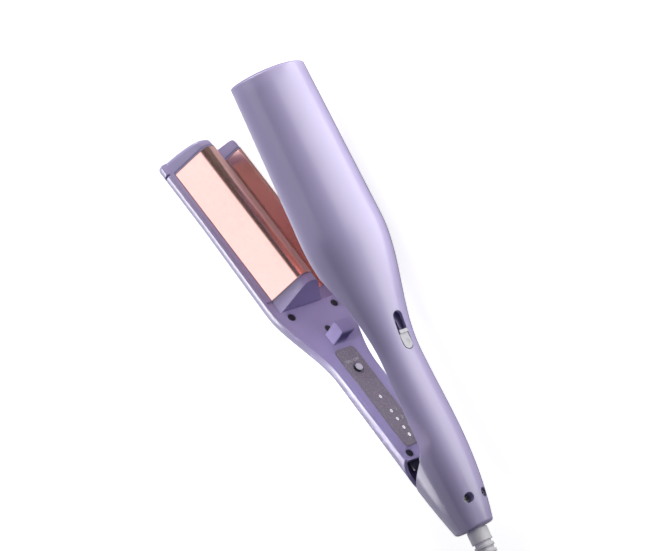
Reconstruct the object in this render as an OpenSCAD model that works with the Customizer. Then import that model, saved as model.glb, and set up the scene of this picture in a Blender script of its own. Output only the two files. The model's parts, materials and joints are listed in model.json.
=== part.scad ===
// Hair waver: a round barrel arm and a slim control arm, hinged at the rear.
// Stations run back from the tip of an arm; each piece is drawn with the jaws
// shut, with X towards the tip and the mating plane of the two arms at Y = 0.
// The control arm is then swung open round the hinge pin.

/* [Arms] */
// Length of each arm, from its tip to the rear of the handset
arm_l = 295; // [288:1:305]
// Angle between the arms when they are let go, in degrees
open_angle = 17.4; // [12:0.2:20]
// Distance of the hinge pin from the rear of the handset
hinge_back = 11; // [10.8:0.1:12]
// Wall of the moulded shells
wall = 2.2; // [1.8:0.1:2.4]
// Play between pieces that are pushed together
fit_gap = 0.15; // [0.1:0.05:0.25]

/* [Barrel arm] */
// Radius of the barrel at its tip
tip_r = 27; // [26.6:0.1:27.5]
// Height of the domed tip of the barrel
dome_h = 4.5; // [3:0.25:6]
// Radius of the barrel at its shoulder
shoulder_r = 29.8; // [29.4:0.1:31]
// Station of the shoulder, where the barrel starts to narrow
shoulder_s = 104; // [100:1:110]
// Radius of the neck
neck_r = 16.4; // [16.2:0.1:17]
// Station at the end of the narrowing
neck_s = 184; // [180:1:188]
// Radius of the grip at its fullest
grip_r = 17.7; // [17.5:0.1:18.2]
// Distance of the fullest part of the grip from the rear
grip_back = 59; // [56:1:64]
// Radius of the handset at its rear end
rear_r = 11.3; // [11:0.1:12]
// Rounding of the rear end
rear_round = 2; // [1.5:0.25:2.5]
// Depth from the mating plane to the rim of the grip
grip_rim = 4.8; // [4:0.1:5]

/* [Control arm] */
// Half of the width of the jaw
jaw_a = 28.5; // [28.2:0.1:29]
// Depth of the jaw behind the mating plane
jaw_d = 12.8; // [12.4:0.1:13.5]
// Half of the width where the handle's shell begins
collar_a = 29.6; // [29.2:0.1:29.7]
// Depth of the handle's shell where it begins
collar_d = 14.6; // [14:0.1:15.5]
// Station where the handle's shell begins
collar_s = 112; // [110:0.5:114]
// Half of the width of the handle
handle_a = 15.8; // [15.5:0.1:16.2]
// Depth of the handle behind the mating plane at its front
handle_d = 12.4; // [12.2:0.1:13]
// Depth of the handle at its rear end
tail_d = 14.6; // [14:0.1:15]
// Station where the handle has its own width
handle_s = 172; // [168:1:176]
// Distance of the rear end of the shell from the rear of the handset
tail_back = 40; // [39:0.5:43]

/* [Plates] */
// Length of the tip cap in front of the plates
cap_l = 7; // [6:0.25:8]
// How far the middle of the tip cap bulges forward
cap_bulge = 1.6; // [1:0.1:2]
// Length of the heated plates
plate_l = 103; // [95:1:106]
// Thickness of the plates
plate_t = 1.2; // [1:0.1:1.5]
// Gap between the two plates when the jaws are shut
plate_gap = 0.6; // [0.5:0.05:0.8]
// Height of the corner over the crest, before it is rounded
crest_w = 28.5; // [27.5:0.25:29]
// Radius of the crest
crest_r = 8; // [7.5:0.25:8.5]
// Depth of the corner below the trough, before it is rounded
trough_w = 10; // [9:0.25:10.5]
// Radius of the trough
trough_r = 6; // [5:0.25:6.5]

/* [Controls] */
// Length of the control panel
panel_l = 75; // [72:0.5:78]
// Width of the control panel
panel_w = 16; // [15:0.5:18]
// Thickness of the control panel
panel_t = 1.4; // [1.2:0.1:1.6]
// Radius of the power button
button_r = 2.5; // [2.2:0.1:2.8]
// Travel of the power button
button_travel = 0.8; // [0.5:0.1:0.9]
// Length of the slot of the lock
slot_l = 24; // [22:0.5:26]
// Width of the slot of the lock
slot_w = 7.5; // [7:0.25:8]
// Travel of the lock
lock_travel = 8; // [6:0.5:8]

/* [Hinge and cord] */
// Radius of the hinge pin
pin_r = 2; // [1.8:0.1:2.2]
// Play of the swinging ears on the pin
pin_play = 0.06; // [0.03:0.01:0.1]
// Radius of the cord
cord_r = 3.25; // [3:0.05:3.5]
// Radius of the collar of the strain relief
collar_r = 6.5; // [6:0.1:7]
// Length of the strain relief outside the handset
relief_l = 46; // [40:1:52]

/* [Hidden] */
$fn = 64;

lavender = [0.74, 0.70, 0.86];
rose_gold = [0.86, 0.62, 0.56];
taupe = [0.50, 0.46, 0.48];
aluminium = [0.75, 0.76, 0.78];
steel = [0.62, 0.63, 0.66];
ceramic = [0.92, 0.91, 0.88];
board_green = [0.16, 0.38, 0.26];
black_plastic = [0.12, 0.12, 0.13];
pale_grey = [0.88, 0.87, 0.90];
warm_white = [0.98, 0.97, 0.93];

steps = 6;

// ---- outlines shared by the pieces ----

function x_at(s) = arm_l - s;

function smooth_step(t) = let (u = max(0, min(1, t))) u * u * (3 - 2 * u);

rear_curve = 2.2;
grip_s = arm_l - grip_back;
control_end_s = arm_l - tail_back;

// Radius of the barrel arm's outer face at a station
function barrel_r(s) =
    s < shoulder_s ? tip_r + (shoulder_r - tip_r) * max(0, s) / shoulder_s :
    s < neck_s ? shoulder_r - (shoulder_r - neck_r)
        * smooth_step((s - shoulder_s) / (neck_s - shoulder_s)) :
    s < grip_s ? neck_r + (grip_r - neck_r) * smooth_step((s - neck_s) / (grip_s - neck_s)) :
    grip_r - (grip_r - rear_r) * pow((s - grip_s) / (arm_l - grip_s), rear_curve);

function tip_stations() = [for (k = [1:steps]) k * shoulder_s / steps];
function neck_stations() =
    [for (k = [1:3 * steps]) shoulder_s + k * (neck_s - shoulder_s) / (3 * steps)];
function grip_stations() = [for (k = [1:steps]) neck_s + k * (grip_s - neck_s) / steps];
function rear_stations() =
    [for (k = [1:2 * steps]) grip_s + k * (arm_l - rear_round - grip_s) / (2 * steps)];
body_stations = concat([0], tip_stations(), neck_stations(), grip_stations(), rear_stations());

// Outline of the solid barrel arm, as radius and X
function dome_points() =
    [for (a = [90:-90 / (2 * steps):10]) [tip_r * cos(a), arm_l + dome_h * sin(a)]];
function rear_points() = [for (a = [0:90 / steps:90]) [
    barrel_r(arm_l - rear_round) - rear_round * (1 - cos(a)), rear_round * (1 - sin(a))]];
function barrel_outline() = concat(
    dome_points(),
    [for (s = body_stations) [barrel_r(s), x_at(s)]],
    rear_points(),
    [[0, 0]]);

// Outline of the room inside a wall of a given thickness, between two stations
function room_outline(inset, s_from, s_to) = concat(
    [[0, x_at(s_from)], [barrel_r(s_from) - inset, x_at(s_from)]],
    [for (s = body_stations) if (s > s_from && s < s_to) [barrel_r(s) - inset, x_at(s)]],
    [[barrel_r(s_to) - inset, x_at(s_to)], [0, x_at(s_to)]]);

module spun(outline) rotate([0, 90, 0]) rotate_extrude($fn = 96) polygon(outline);

// A profile drawn as Y, Z and carried along X between two stations
module along(s_from, s_to) {
    translate([x_at(s_to), 0, 0])
        rotate([90, 0, 90])
            linear_extrude(s_to - s_from)
                children();
}

// A block between two stations, with its faces in Y and Z given
module block(s_from, s_to, y_from, y_to, z_from, z_to) {
    translate([x_at(s_to), y_from, z_from])
        cube([s_to - s_from, y_to - y_from, z_to - z_from]);
}

// A round post along Y at a station
module post(s, z, r, y_from, y_to) {
    translate([x_at(s), y_from, z])
        rotate([-90, 0, 0])
            cylinder(r = r, h = y_to - y_from);
}

// ---- the wave that both plates follow ----

function unit(v) = v / norm(v);

// A corner of a path rounded to a radius, as points along its arc
function rounded_corner(before, corner, after, r) =
    let (
        u = unit(before - corner),
        v = unit(after - corner),
        half = acos(u * v) / 2,
        reach = r / tan(half),
        centre = corner + unit(u + v) * (r / sin(half)),
        start = corner + u * reach,
        finish = corner + v * reach,
        first = start - centre,
        turn = sign(first[0] * (finish - centre)[1] - first[1] * (finish - centre)[0])
            * (180 - 2 * half)
    )
    [for (k = [0:2 * steps]) let (a = turn * k / (2 * steps))
        centre + [first[0] * cos(a) - first[1] * sin(a), first[0] * sin(a) + first[1] * cos(a)]];

plate_edge_z = 22.8;
plate_edge_y = 1;
crest_z = 4.5;
trough_z = -16.5;
lip_z = -26;
lip_y = -7;
lip_rise = 0.3;
wave_start = [plate_edge_y, plate_edge_z];
wave_crest = [-crest_w, crest_z];
wave_trough = [trough_w, trough_z];
wave_lip = [lip_y, lip_z];

// Face of the control arm's plate in Y and Z, from its near edge to its far lip
wave = concat(
    [wave_start],
    rounded_corner(wave_start, wave_crest, wave_trough, crest_r),
    rounded_corner(wave_crest, wave_trough, wave_lip, trough_r),
    [wave_lip, [lip_y - lip_rise, 0.2 - jaw_a]]);

function direction_at(path, i) =
    unit(path[min(i + 1, len(path) - 1)] - path[max(i - 1, 0)]);

// The same path moved sideways, towards the barrel arm where the distance is positive
function moved(path, distance) = [for (i = [0:len(path) - 1])
    let (d = direction_at(path, i)) path[i] + distance * [d[1], -d[0]]];

function reversed(list) = [for (i = [len(list) - 1:-1:0]) list[i]];

module band(near, far) polygon(concat(moved(wave, near), reversed(moved(wave, far))));

far_y = 60;
far_z = 60;

// Everything on the control arm's side of the wave, moved towards the barrel by a gap
module control_side(gap) {
    path = moved(wave, gap);
    last = path[len(path) - 1];
    polygon(concat(
        [[far_y, far_z], [-gap, far_z], [-gap, path[0][1] + 1]],
        path,
        [[last[0], -far_z], [far_y, -far_z]]));
}

// ---- the control arm's section ----

squareness = 2.4;

// The jaw widens a little towards the handle, which then narrows to its own width
widen_s = 45;
narrow_s = collar_s + 4;
function widened(s) = max(0, s - widen_s) / (collar_s - widen_s);
function narrowed(s) = smooth_step((s - narrow_s) / (handle_s - narrow_s));

function control_a(s) = s < collar_s ? jaw_a + (collar_a - jaw_a) * widened(s) :
    collar_a - (collar_a - handle_a) * narrowed(s);
function control_d(s) = s < collar_s ? jaw_d + (collar_d - jaw_d) * widened(s) :
    s < handle_s ? collar_d - (collar_d - handle_d) * narrowed(s) :
    handle_d + (tail_d - handle_d) * (s - handle_s) / (control_end_s - handle_s);

// Back of a section as a squarish half ellipse, in Y and Z, from +Z round to -Z
function back_curve(a, d, count, from = 0) = [for (k = [0:count])
    let (t = from + k * (180 - 2 * from) / count, c = cos(t))
    [d * pow(max(0, sin(t)), 2 / squareness), a * sign(c) * pow(abs(c), 2 / squareness)]];

// Depth of such a section at a height
function depth_at(a, d, z) = d * pow(max(0, 1 - pow(abs(z) / a, squareness)), 1 / squareness);

// A closed solid over rings of points that all have the same count. With strips an end is
// closed between the two sides of its ring, which need not be flat.
module skin(rings, strip_ends = false) {
    count = len(rings[0]);
    last = len(rings) - 1;
    points = [for (ring = rings) each ring];
    sides = [for (i = [0:last - 1]) for (k = [0:count - 1])
        let (a = i * count + k, b = i * count + (k + 1) % count)
        each [[a, b, a + count], [b, b + count, a + count]]];
    front = strip_ends
        ? [for (k = [0:count / 2 - 2]) let (m = count - 1 - k)
            each [[k + 1, k, m], [k + 1, m, m - 1]]]
        : [reversed([for (k = [0:count - 1]) k])];
    back = [for (face = front) reversed([for (k = face) last * count + k])];
    polyhedron(points, concat(sides, front, back));
}

function ring_at(x, outline) = [for (p = outline) [x, p[0], p[1]]];

// ---- where the whole handset stands ----

function opened(p) = [
    hinge_back + (p[0] - hinge_back) * cos(open_angle) - p[1] * sin(open_angle),
    (p[0] - hinge_back) * sin(open_angle) + p[1] * cos(open_angle)];

cap_lean = 0.12;
cap_over = 1.9;
cap_rise = 0.4;
cap_joint = 1.4;
cap_back = 6;
cap_lip_share = 0.3;
cap_insets = [[cap_l - cap_joint, 1], [0.5, 1], [-0.7, 0.985], [-cap_over + 0.35, 0.955],
    [-cap_over, 0.92]];

function bulge_at(z) = cap_bulge * sin(180 * max(0, min(1, (jaw_a - z) / (jaw_a - crest_z))));
// The two sides of the cap's outline, at the same heights from its near edge to its lip
cap_side = moved(wave, -cap_rise);
cap_last = len(cap_side) - 1;
cap_inner = concat(
    [for (u = [0.02, 0.3, 0.7]) [0, jaw_a] * (1 - u) + cap_side[0] * u],
    [for (i = [0:cap_last - 1]) cap_side[i]],
    [(cap_side[cap_last - 1] + cap_side[cap_last]) / 2, cap_side[cap_last]]);
cap_outer = [for (p = cap_inner) [depth_at(jaw_a, jaw_d, p[1]), p[1]]];
function cap_outline() = concat(cap_inner, reversed(cap_outer));
// The outline at a station. Towards its front it shrinks to a line inside the back, so
// that its lip keeps clear of the barrel.
function cap_ring(s, size) = [for (p = cap_outline())
    [x_at(s) + (s < cap_l - cap_joint ? cap_lean * p[0] + bulge_at(p[1]) : 0),
        p[0] * size + cap_back * (1 - size),
        p[1] * (p[1] < 0 ? 1 - (1 - size) * cap_lip_share : size)]];

handset_y_max = max([for (step = cap_insets) for (p = cap_ring(step[0], step[1])) opened(p)[1]]);
handset_place = [-(arm_l + dome_h) / 2, (shoulder_r - handset_y_max) / 2, shoulder_r];

module placed() translate(handset_place) children();

module swung() {
    placed()
        translate([hinge_back, 0, 0])
            rotate([0, 0, open_angle])
                translate([-hinge_back, 0, 0])
                    children();
}

// ---- barrel arm ----

plate_s = cap_l;
plate_end_s = plate_s + plate_l;
groove_end_s = collar_s + 9.5;
cover_from = collar_s + 8;
frame_end_s = cover_from - 0.4;
bulkhead_t = 2.5;
slot_s = neck_s - slot_l / 2;
rear_screw_s = arm_l - 17;
rear_screw_z = 6.25;
rear_screw_hole_r = 3;
rear_screw_seat_y = -9;
bracket_t = 1.4;
bracket_y = -7;
cover_t = 2;
swivel_hole_r = 5.2;
grip_rim_s = arm_l - 55;
neck_rim_s = [124, 145];

module stadium(length, width) {
    end_r = width / 2;
    square([length - width, width], center = true);
    for (side = [-1, 1])
        translate([side * (length - width) / 2, 0])
            circle(end_r);
}

module rear_screw_holes(r, y_from, y_to) {
    for (side = [-1, 1])
        post(rear_screw_s, side * rear_screw_z, r, y_from, y_to);
}

// Everything past the rim of the barrel arm's shell, behind its groove
module above_rim() {
    linear_extrude(2 * far_z, center = true)
        polygon([
            [x_at(groove_end_s) + 1, far_y], [x_at(groove_end_s) + 1, -plate_gap],
            [x_at(neck_rim_s[0]), -plate_gap], [x_at(neck_rim_s[1]), -grip_rim],
            [x_at(grip_rim_s), -grip_rim], [x_at(grip_rim_s + 6), 0], [-1, 0], [-1, far_y]]);
}

module barrel_shell() color(lavender) placed() {
    post_top = bracket_y - 0.02;
    difference() {
        union() {
            difference() {
                spun(barrel_outline());
                spun(room_outline(wall, 4, arm_l - wall));
            }
            intersection() {
                spun(room_outline(wall - 0.2, 4, arm_l - 1));
                union() {
                    rear_screw_holes(4, -20, post_top);
                    for (s = barrel_screw_stations)
                        post(s, 0, barrel_post_r, -far_y, -grip_rim - cover_t - 0.02);
                }
            }
        }
        along(-dome_h - 1, groove_end_s)
            control_side(plate_gap);
        above_rim();
        translate([x_at(slot_s), 0, 0])
            rotate([90, 0, 0])
                linear_extrude(far_y)
                    stadium(slot_l, slot_w);
        rear_screw_holes(rear_screw_hole_r, -20, rear_screw_seat_y);
        rear_screw_holes(1.7, -20, post_top + 1);
        for (s = barrel_screw_stations)
            post(s, 0, barrel_screw_r, -grip_rim - cover_t - barrel_screw_l - 1, 0);
        translate([-1, 0, 0])
            rotate([0, 90, 0])
                cylinder(r = swivel_hole_r, h = wall + 2);
    }
}

barrel_plate_near = plate_gap;
barrel_plate_edge_z = plate_edge_z - 0.4;

module barrel_plate() color(rose_gold) placed() {
    intersection() {
        along(plate_s, plate_end_s)
            band(barrel_plate_near, barrel_plate_near + plate_t);
        block(plate_s, plate_end_s, -far_y, far_y, -barrel_plate_edge_z, barrel_plate_edge_z);
    }
}

frame_t = 2.4;

module barrel_plate_frame() color(lavender) placed() {
    room = room_outline(wall + fit_gap, 4 + fit_gap, groove_end_s + bulkhead_t);
    top_y = -plate_gap - fit_gap;
    difference() {
        intersection() {
            spun(room);
            union() {
                difference() {
                    along(4, frame_end_s)
                        band(barrel_plate_near, barrel_plate_near + frame_t);
                    block(plate_s - fit_gap, plate_end_s + fit_gap, -far_y, far_y,
                        -barrel_plate_edge_z - fit_gap, barrel_plate_edge_z + fit_gap);
                }
                intersection() {
                    along(frame_end_s - 0.5, groove_end_s + 1)
                        band(barrel_plate_near, barrel_plate_near + frame_t);
                    block(0, arm_l, -far_y, top_y, -far_z, far_z);
                }
                for (s = [4, plate_end_s + fit_gap])
                    along(s, s + bulkhead_t - fit_gap)
                        difference() {
                            square(2 * far_y, center = true);
                            control_side(barrel_plate_near);
                        }
                block(groove_end_s, groove_end_s + bulkhead_t - fit_gap, -far_y, top_y,
                    -far_z, far_z);
            }
        }
        block(0, arm_l, -plate_gap, far_y, barrel_plate_edge_z, far_z);
    }
}

barrel_block_z = [-19.5, -12];
heater_clear = 0.05;
ptc_t = 3;
barrel_heater_y = -9;

// The part of the room behind a face of the wave, between two heights
module behind_wave(gap, z_from, z_to, y_from, y_to) {
    intersection() {
        difference() {
            square(2 * far_y, center = true);
            control_side(gap);
        }
        translate([y_from, z_from])
            square([y_to - y_from, z_to - z_from]);
    }
}

module before_wave(gap, z_from, z_to, y_from, y_to) {
    intersection() {
        control_side(gap);
        translate([y_from, z_from])
            square([y_to - y_from, z_to - z_from]);
    }
}

spreader_start = plate_s + 4;
spreader_end = plate_end_s - 4;

module barrel_heat_spreader() color(aluminium) placed() {
    along(spreader_start, spreader_end)
        behind_wave(barrel_plate_near + plate_t + heater_clear,
            barrel_block_z[0], barrel_block_z[1], barrel_heater_y, far_y);
}

module barrel_heater() color(ceramic) placed() {
    block(spreader_start + 4, spreader_end - 4, barrel_heater_y - ptc_t, barrel_heater_y,
        barrel_block_z[0] + 0.8, barrel_block_z[1] - 0.8);
}

clamp_stations = [spreader_start + 12, (spreader_start + spreader_end) / 2, spreader_end - 16];
clamp_l = 6;

module barrel_heater_clamp() color(ceramic) placed() {
    intersection() {
        spun(room_outline(wall + fit_gap, 4, groove_end_s));
        for (s = clamp_stations)
            block(s, s + clamp_l, -shoulder_r, barrel_heater_y - ptc_t,
                barrel_block_z[0] + 1, barrel_block_z[1] - 1);
    }
}

fuse_r = 2;
fuse_s = (clamp_stations[0] + clamp_stations[1]) / 2;

module thermal_fuse() color(steel) placed() {
    z = (barrel_block_z[0] + barrel_block_z[1]) / 2;
    translate([x_at(fuse_s + 8), barrel_heater_y - ptc_t - fuse_r, z])
        rotate([0, 90, 0])
            cylinder(r = fuse_r, h = 12);
}

inner_cover_from = groove_end_s + bulkhead_t + fit_gap;
inner_cover_to = grip_rim_s - 6;
panel_end_s = control_end_s - 24;
panel_s = panel_end_s - panel_l;
catch_s = panel_s - 12.5;
catch_l = 8.5;
catch_z = [-6.5, 4.5];
catch_h = 13;
catch_clear = 1.5;
barrel_screw_stations = [inner_cover_from + 8, inner_cover_to - 8];
barrel_screw_r = 1.5;
barrel_screw_head_r = 2.6;
barrel_screw_l = 5;
barrel_post_r = 3.6;

module barrel_inner_cover() color(lavender) placed() {
    y_top = -grip_rim;
    difference() {
        intersection() {
            spun(room_outline(wall + fit_gap, inner_cover_from, inner_cover_to));
            block(inner_cover_from, inner_cover_to, y_top - cover_t, y_top, -far_z, far_z);
        }
        block(catch_s - catch_clear, catch_s + catch_l + 2 * catch_clear, -far_y, 0,
            catch_z[0] - catch_clear, catch_z[1] + catch_clear);
        for (s = barrel_screw_stations) {
            post(s, 0, barrel_screw_r, -far_y, 0);
            post(s, 0, barrel_screw_head_r, y_top - 1, 0);
        }
    }
}

module barrel_cover_screws() color(steel) placed() {
    y_top = -grip_rim;
    for (s = barrel_screw_stations)
        difference() {
            union() {
                post(s, 0, barrel_screw_r - 0.05, y_top - cover_t - barrel_screw_l, y_top - 1);
                post(s, 0, barrel_screw_head_r - 0.2, y_top - 1, y_top - 0.1);
            }
            block(s - 1.5, s + 1.5, y_top - 0.6, 0, -0.3, 0.3);
            block(s - 0.3, s + 0.3, y_top - 0.6, 0, -1.5, 1.5);
        }
}

track_y = -11.2;
track_t = 1.3;
stem_l = 8;
stem_z = 1.8;
knob_l = 12;
knob_from_s = slot_s + slot_l / 2 - 0.5 - knob_l;
stem_from_s = knob_from_s + 2;
track_s = [stem_from_s - lock_travel - 12, stem_from_s + stem_l + 10.5];

module lock_track() color(lavender) placed() {
    difference() {
        intersection() {
            spun(room_outline(wall + 0.02, track_s[0], track_s[1]));
            block(track_s[0], track_s[1], track_y - track_t, track_y, -far_z, far_z);
        }
        block(stem_from_s - lock_travel - 0.4, stem_from_s + stem_l + 0.4, -far_y, 0,
            -stem_z - 0.3, stem_z + 0.3);
    }
}

// Depth of the rear cover behind the mating plane, in line with the open arm's back
rear_cover_depth = 13;
cheek_front = 48.4;
cheek_back = 32.2;

function cover_depth(x) = rear_cover_depth + x * tan(open_angle);
function cover_inset(x) = x >= rear_round ? 0
    : rear_round * (1 - sqrt(1 - pow(1 - x / rear_round, 2)));
cover_xs = concat([0, 0.4, 1, 2], [for (k = [0:8]) rear_round + k * 7]);

module cover_solid(inset) {
    skin([for (x = cover_xs) if (x >= (inset > 0 ? 2 : 0))
        let (shrink = inset + cover_inset(x),
            a = barrel_r(min(arm_l - x, arm_l - rear_round)) - shrink,
            d = cover_depth(x) - shrink)
        ring_at(x + (inset > 0 && x == 2 ? 0.2 : 0),
            concat([[-1, a]], back_curve(a, d, 20), [[-1, -a]]))]);
}

module rear_cover() color(lavender) placed() {
    difference() {
        cover_solid(0);
        cover_solid(wall);
        translate([-1, -far_y, -far_z])
            cube([2 * far_y, far_y + fit_gap, 2 * far_z]);
        linear_extrude(2 * far_z, center = true)
            polygon([[cheek_front, -1], [cheek_front, 0], [cheek_back, cheek_depth()],
                [cheek_back, far_y], [far_y + cheek_front, far_y], [far_y + cheek_front, -1]]);
        translate([-1, 0, 0])
            rotate([0, 90, 0])
                cylinder(r = swivel_hole_r, h = wall + 2);
    }
}

function cheek_depth() = cover_depth(cheek_back);

module rear_screws() color(steel) placed() {
    difference() {
        union() {
            rear_screw_holes(2.4, rear_screw_seat_y - 1.5, rear_screw_seat_y);
            rear_screw_holes(1.45, rear_screw_seat_y, bracket_y + bracket_t + 1);
        }
        for (side = [-1, 1]) {
            block(rear_screw_s - 1.6, rear_screw_s + 1.6, -far_y, rear_screw_seat_y - 0.8,
                side * rear_screw_z - 0.35, side * rear_screw_z + 0.35);
            block(rear_screw_s - 0.35, rear_screw_s + 0.35, -far_y, rear_screw_seat_y - 0.8,
                side * rear_screw_z - 1.6, side * rear_screw_z + 1.6);
        }
    }
}

ear_r = 4.4;
bracket_half = 8.2;
swing_ear_z = [5, 6.5];
bracket_x = [9, 23];

module pin_hole(r) {
    translate([hinge_back, 0, -far_z])
        cylinder(r = r, h = 2 * far_z);
}

module hinge_bracket() color(steel) placed() {
    difference() {
        union() {
            translate([bracket_x[0], bracket_y, -bracket_half])
                cube([bracket_x[1] - bracket_x[0], bracket_t, 2 * bracket_half]);
            for (side = [-1, 1])
                translate([0, 0, side * (bracket_half - bracket_t / 2)])
                    linear_extrude(bracket_t, center = true)
                        union() {
                            translate([hinge_back, 0])
                                circle(ear_r);
                            polygon([[bracket_x[0], bracket_y], [hinge_back - ear_r * 0.8, -2.6],
                                [hinge_back + ear_r, 0], [bracket_x[1], bracket_y]]);
                        }
        }
        pin_hole(pin_r);
        rear_screw_holes(1.5, -20, 0);
    }
}

module hinge_pin() color(steel) placed() {
    head_h = 0.6;
    translate([hinge_back, 0, -bracket_half])
        cylinder(r = pin_r, h = 2 * bracket_half);
    for (side = [-1, 1])
        translate([hinge_back, 0, side * (bracket_half + head_h / 2)])
            cylinder(r = pin_r + 0.8, h = head_h, center = true);
}

spring_wire_r = 0.55;
spring_turns = 6;
spring_pitch = 1.35;

// A torsion spring on the pin, its turns drawn as rings and its legs as rods
module hinge_spring() color(steel) placed() {
    mean_r = pin_r + 0.12 + spring_wire_r;
    translate([hinge_back, 0, 0]) {
        for (k = [0:spring_turns - 1])
            translate([0, 0, (k - (spring_turns - 1) / 2) * spring_pitch])
                rotate_extrude($fn = 32)
                    translate([mean_r, 0])
                        circle(spring_wire_r, $fn = 16);
        translate([-mean_r, 0, 0])
            cylinder(r = spring_wire_r * 0.9, h = (spring_turns - 1) * spring_pitch, center = true,
                $fn = 16);
    }
}

module lock_knob() color(pale_grey) placed() {
    ridge_w = 2.2;
    outer_y = -barrel_r(slot_s);
    knob_x = x_at(knob_from_s + knob_l / 2);
    difference() {
        union() {
            translate([knob_x, outer_y + 0.9, 0])
                rotate([-90, 0, 0])
                    linear_extrude(-outer_y - 0.9 + track_y - track_t - 0.3)
                        stadium(knob_l, slot_w - 0.8);
            block(knob_from_s, knob_from_s + ridge_w, outer_y - 0.2, outer_y + 2,
                -slot_w / 2 + 0.5, slot_w / 2 - 0.5);
        }
        translate([knob_x - 1.8, outer_y - 4.2, 0])
            sphere(5.6);
    }
    block(stem_from_s, stem_from_s + stem_l, track_y - track_t - 0.4, track_y + 0.3,
        -stem_z, stem_z);
}

hook_y = [-10.9, -8];
nose_y = [-10, -8];
nose_s = catch_s + 13;

module lock_hook() color(black_plastic) placed() {
    block(stem_from_s - 2, stem_from_s + stem_l + 2, hook_y[0], hook_y[1], -3, 3);
    block(nose_s, stem_from_s, nose_y[0], nose_y[1], -3, 1);
}

// ---- control arm ----

tail_cut = 62;

// Stations along the shell, closer together where it changes
rim_end_s = control_end_s - 16;
shell_stations = concat(
    [plate_s + fit_gap, widen_s],
    [for (k = [0:12]) collar_s + k * (handle_s + 4 - collar_s) / 12],
    [handle_s + (rim_end_s - handle_s) / 2, rim_end_s],
    [for (k = [1:7]) rim_end_s + k * (control_end_s - rim_end_s) / 7]);
shell_cuts = 20;

// How far round the section the shell's rim has been cut back, in degrees
function rim_angle(s) = s < rim_end_s ? 0
    : tail_cut * pow((s - rim_end_s) / (control_end_s - rim_end_s), 0.8);

function hollow_curve(a, d, count, from) = concat(
    back_curve(a, d, count, from),
    reversed(back_curve(a - wall, d - wall, count, from)));
function shell_ring(s) =
    ring_at(x_at(s), hollow_curve(control_a(s), control_d(s), shell_cuts, rim_angle(s)));
// Depth of the inner face of the shell at a station, at a distance from the middle
function inner_depth(s, z) = depth_at(control_a(s) - wall, control_d(s) - wall, z);

screw_post_r = 4;
cover_to = control_end_s - 15;
cover_plate_t = 2.2;
front_screws = [[cover_from + 5, 18], [cover_from + 5, -18], [catch_s - 3.5, -1]];
rear_cover_screws = [for (side = [1, -1]) [cover_to - 4.5, side * 8.6]];
cover_screw_r = 1.4;
cover_head_r = 2.4;

module control_shell() color(lavender) swung() {
    difference() {
        union() {
            skin([for (s = reversed(shell_stations)) shell_ring(s)], strip_ends = true);
            for (p = front_screws)
                post(p[0], p[1], screw_post_r, cover_plate_t,
                    inner_depth(p[0], abs(p[1]) + screw_post_r / 2) + wall / 2);
        }
        for (p = front_screws)
            post(p[0], p[1], cover_screw_r + 0.1, 0, cover_plate_t + 6);
    }
}

// Outline of a flat piece that fits inside the handle, in X and Z
module handle_outline(s_from, s_to, inset) {
    cuts = [for (k = [0:24]) s_from + k * (s_to - s_from) / 24];
    polygon(concat(
        [for (s = cuts) [x_at(s), control_a(s) - inset]],
        [for (s = reversed(cuts)) [x_at(s), -control_a(s) + inset]]));
}

// A flat sheet between two heights, from an outline drawn in X and Z
module sheet(y_from, y_to) {
    translate([0, y_to, 0])
        rotate([90, 0, 0])
            linear_extrude(y_to - y_from)
                children();
}

panel_mid_s = panel_s + panel_l / 2;
panel_corner = 3;
panel_proud = 0.5;
button_s = panel_s + 15.7;
button_hole_r = button_r + 0.9;
lamp_stations = [for (ahead = [36.5, 25.2, 18.9, 12.3, 6.7]) panel_end_s - ahead];
window_l = 2.2;
window_w = 1.4;
board_y = 6.4;
board_t = 1.6;
board_posts = [[panel_s + 8, 6], [panel_s + 8, -6], [panel_s + panel_l - 8, 6],
    [panel_s + panel_l - 8, -6]];

module rounded_bar(length, width, r) {
    square([length - 2 * r, width], center = true);
    square([length, width - 2 * r], center = true);
    for (x = [-1, 1])
        for (y = [-1, 1])
            translate([x * (length / 2 - r), y * (width / 2 - r)])
                circle(r);
}

module panel_outline(grow) {
    translate([x_at(panel_mid_s), 0])
        rounded_bar(panel_l + 2 * grow, panel_w + 2 * grow, panel_corner + grow);
}

module lamp_openings(grow) {
    for (s = lamp_stations)
        translate([x_at(s), 0])
            stadium(window_l + 2 * grow, window_w + 2 * grow);
}

catch_hole_y = [-11, -2.5];

module control_cover() color(lavender) swung() {
    difference() {
        union() {
            sheet(0, cover_plate_t)
                handle_outline(cover_from, cover_to, wall + fit_gap);
            block(catch_s, catch_s + catch_l, -catch_h, 0.5, catch_z[0], catch_z[1]);
            block(cover_to - 7, cover_to, -2.6, 0.5, -12.5, -4);
            for (p = board_posts)
                post(p[0], p[1], 1.6, cover_plate_t - 0.5, board_y);
        }
        block(catch_s + 2, catch_s + catch_l + 1, catch_hole_y[0], catch_hole_y[1],
            catch_z[0] + 1, catch_z[1] - 1);
        sheet(-far_y, panel_t - panel_proud)
            panel_outline(fit_gap);
        post(button_s, 0, button_hole_r, -far_y, far_y);
        sheet(-far_y, far_y)
            lamp_openings(0.1);
        for (p = concat(front_screws, rear_cover_screws)) {
            post(p[0], p[1], cover_screw_r + 0.1, -far_y, far_y);
            post(p[0], p[1], cover_head_r + 0.3, -far_y, 1.2);
        }
    }
}

module cover_screws() color(steel) swung() {
    for (p = concat(front_screws, rear_cover_screws))
        difference() {
            union() {
                post(p[0], p[1], cover_screw_r, 1.2, cover_plate_t + bracket_t + 1);
                post(p[0], p[1], cover_head_r, 0.3, 1.2);
            }
            block(p[0] - 1.5, p[0] + 1.5, -1, 0.8, p[1] - 0.3, p[1] + 0.3);
            block(p[0] - 0.3, p[0] + 0.3, -1, 0.8, p[1] - 1.5, p[1] + 1.5);
        }
}

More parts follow.
